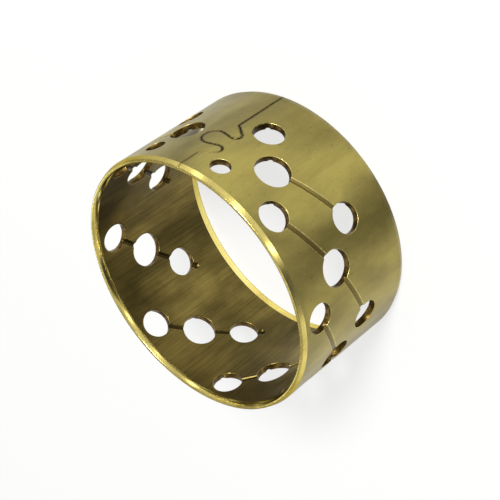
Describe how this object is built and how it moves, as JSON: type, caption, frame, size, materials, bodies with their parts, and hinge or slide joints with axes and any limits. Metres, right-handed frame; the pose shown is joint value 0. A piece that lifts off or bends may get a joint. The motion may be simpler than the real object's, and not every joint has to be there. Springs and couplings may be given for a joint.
{
  "type": "wrapped bushing",
  "caption": "Thin-wall rolled brass bushing with a clinch-lock butt seam, slanted lines of punched grease holes, oil grooves inside and out, and lead-in chamfers on both ends.",
  "frame": {"origin": "centre of the plain end, on the surface that the bushing stands on", "axes": "+Z along the axis towards the punched end, +X through the straight part of the seam"},
  "size_m": [0.06, 0.06, 0.033],
  "materials": {
    "brass": "satin, tarnished"
  },
  "bodies": {
    "root": {"bushing": "brass"}
  },
  "joints": []
}
